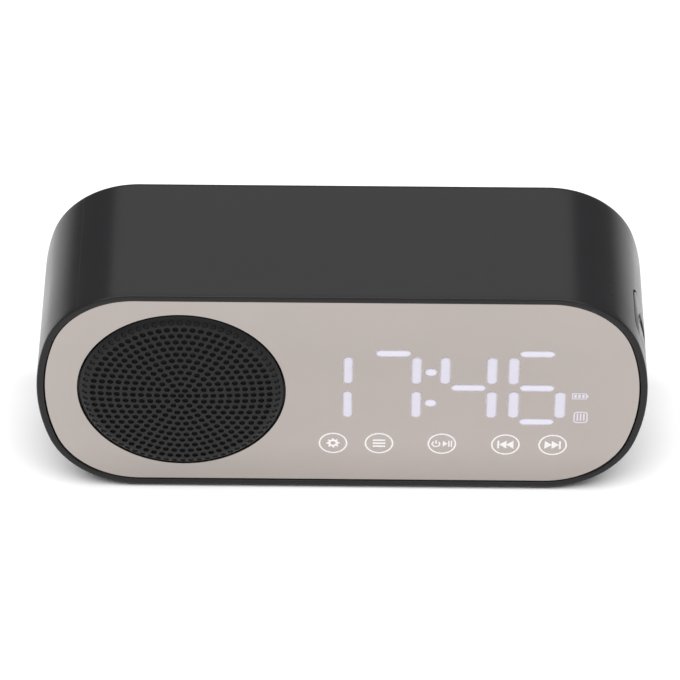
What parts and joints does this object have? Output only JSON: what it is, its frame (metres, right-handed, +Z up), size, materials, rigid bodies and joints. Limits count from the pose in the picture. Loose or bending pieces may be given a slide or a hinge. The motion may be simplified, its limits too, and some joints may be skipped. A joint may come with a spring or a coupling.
{
  "type": "talking clock",
  "caption": "Desk clock and speaker: a flat oval mirror front with lit digits, touch keys and a round perforated speaker grille, in a deep moulded housing with ports in one end.",
  "frame": {"origin": "on the table plane under the middle of the bounding box, at the underside of the feet", "axes": "+Z up, the mirror front faces -Y, +X runs along the length towards the end with the ports"},
  "size_m": [0.15, 0.043, 0.0658],
  "materials": {
    "housing_plastic": "satin moulded",
    "inner_plastic": "moulded",
    "mirror_front": "polished, half-silvered",
    "adhesive": "film",
    "grille_metal": "fine matt coat",
    "cloth": "open weave",
    "foam": "cellular",
    "soft_rubber": "matt",
    "pressed_steel": "black coated",
    "plated_steel": "zinc plated",
    "ferrite": "sintered",
    "paper": "pressed paper",
    "copper_winding": "lacquered wire",
    "white_plastic": "moulded",
    "diffuser": "frosted film",
    "lamp": "clear resin",
    "circuit_board": "solder mask",
    "component_black": "moulded",
    "connector": "moulded",
    "cell_wrap": "shrink sleeve"
  },
  "bodies": {
    "case": {"housing": "housing_plastic", "front_frame": "inner_plastic", "mirror_panel": "mirror_front", "mirror_tape": "adhesive", "speaker_grille": "grille_metal", "grille_cloth": "cloth", "speaker_gasket": "foam", "speaker_surround": "soft_rubber", "speaker_basket": "pressed_steel", "speaker_spider": "cloth", "magnet_top_plate": "plated_steel", "magnet_ring": "ferrite", "magnet_yoke": "plated_steel", "speaker_terminals": "connector", "speaker_screws": "plated_steel", "light_box": "white_plastic", "diffuser_film": "diffuser", "display_lamps": "lamp", "touch_pads": "foam", "main_board": "circuit_board", "board_screws": "plated_steel", "controller_chip": "component_black", "amplifier_chip": "component_black", "radio_module": "plated_steel", "speaker_plug": "connector", "battery_plug": "connector", "port_panel": "housing_plastic", "charging_socket": "plated_steel", "socket_tongue": "component_black", "card_socket": "plated_steel", "audio_jack": "component_black", "battery_cell": "cell_wrap", "battery_cushion": "foam", "rear_screws": "plated_steel", "rubber_feet": "soft_rubber"},
    "cone": {"speaker_cone": "paper", "dust_cap": "paper", "voice_coil": "copper_winding"}
  },
  "joints": [
    {"name": "cone_travel", "type": "slide", "parent": "case", "child": "cone", "axis": [0, 1, 0], "range_m": [-0.0015, 0.0015], "stiffness_N_per_m": 1200, "deforming": ["speaker_surround", "speaker_spider"]}
  ]
}
